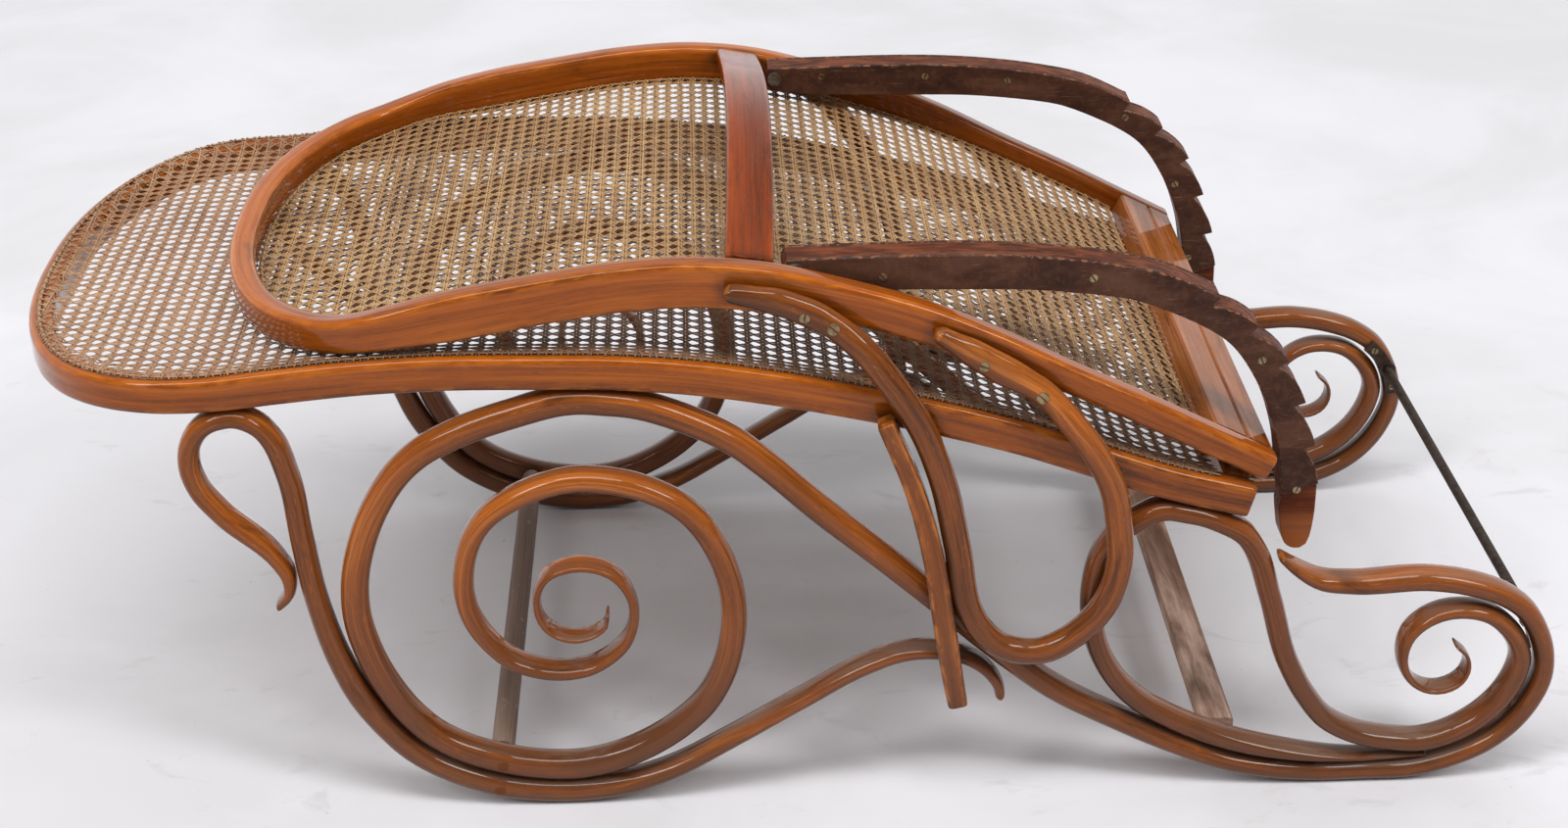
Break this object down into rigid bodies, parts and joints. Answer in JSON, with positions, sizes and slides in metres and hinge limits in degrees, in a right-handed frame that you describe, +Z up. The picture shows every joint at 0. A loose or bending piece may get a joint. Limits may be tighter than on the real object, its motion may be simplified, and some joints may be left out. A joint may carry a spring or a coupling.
{
  "type": "bentwood rocking chair",
  "caption": "Bentwood reclining rocking chaise folded flat: caned seat on scrolled rockers, hinged caned back with armrest loops and toothed stays that hook on a rear rod.",
  "frame": {"origin": "on the floor under the middle of the chair as it lies folded", "axes": "+X towards the hinge and the rear scrolls, +Y to the right side, +Z up"},
  "size_m": [1.2752, 0.5742, 0.5314],
  "materials": {
    "beech": "polished",
    "dark_beech": "matte",
    "raw_wood": "unpolished",
    "cane": "woven cane",
    "iron": "matte",
    "steel": "worn"
  },
  "bodies": {
    "base": {"scroll_rocker_left": "beech", "front_scroll_left": "beech", "rear_scroll_left": "beech", "scroll_rocker_right": "beech", "front_scroll_right": "beech", "rear_scroll_right": "beech", "front_stretcher_dowel": "raw_wood", "rear_stretcher_bar": "raw_wood", "ratchet_rod": "iron", "rod_bracket_left": "iron", "rod_bracket_right": "iron", "seat_frame": "beech", "seat_rear_rail": "beech", "seat_cane": "cane", "hinge_seat_leaf_left": "steel", "hinge_seat_leaf_right": "steel", "hinge_pin_left": "steel", "hinge_pin_right": "steel"},
    "backrest": {"back_frame": "beech", "back_end_strip": "beech", "back_bottom_rail": "beech", "back_cane": "cane", "back_crossbar": "beech", "armrest_loop_left": "beech", "armrest_bar_left": "beech", "hinge_back_leaf_left": "steel", "stay_pivot_screw_left": "steel", "stay_spacer_left": "steel", "armrest_loop_right": "beech", "armrest_bar_right": "beech", "hinge_back_leaf_right": "steel", "stay_pivot_screw_right": "steel", "stay_spacer_right": "steel"},
    "stay_left": {"ratchet_stay_left": "dark_beech", "ratchet_plate_outer_left": "iron", "ratchet_plate_inner_left": "iron"},
    "stay_right": {"ratchet_stay_right": "dark_beech", "ratchet_plate_outer_right": "iron", "ratchet_plate_inner_right": "iron"}
  },
  "joints": [
    {"name": "back_fold", "type": "hinge", "parent": "base", "child": "backrest", "pos_m": [0.38132, 0, 0.29152], "axis": [0, 1, 0], "range_deg": [0, 133]},
    {"name": "stay_swing_left", "type": "hinge", "parent": "backrest", "child": "stay_left", "pos_m": [-0.00068, -0.216, 0.47902], "axis": [0, -1, 0], "range_deg": [0, 20.8]},
    {"name": "stay_swing_right", "type": "hinge", "parent": "backrest", "child": "stay_right", "pos_m": [-0.00068, 0.216, 0.47902], "axis": [0, -1, 0], "range_deg": [0, 20.8]}
  ],
  "couplings": [
    {"joint": "stay_swing_left", "follows": "back_fold", "ratio": 0.15603},
    {"joint": "stay_swing_right", "follows": "back_fold", "ratio": 0.15603}
  ]
}
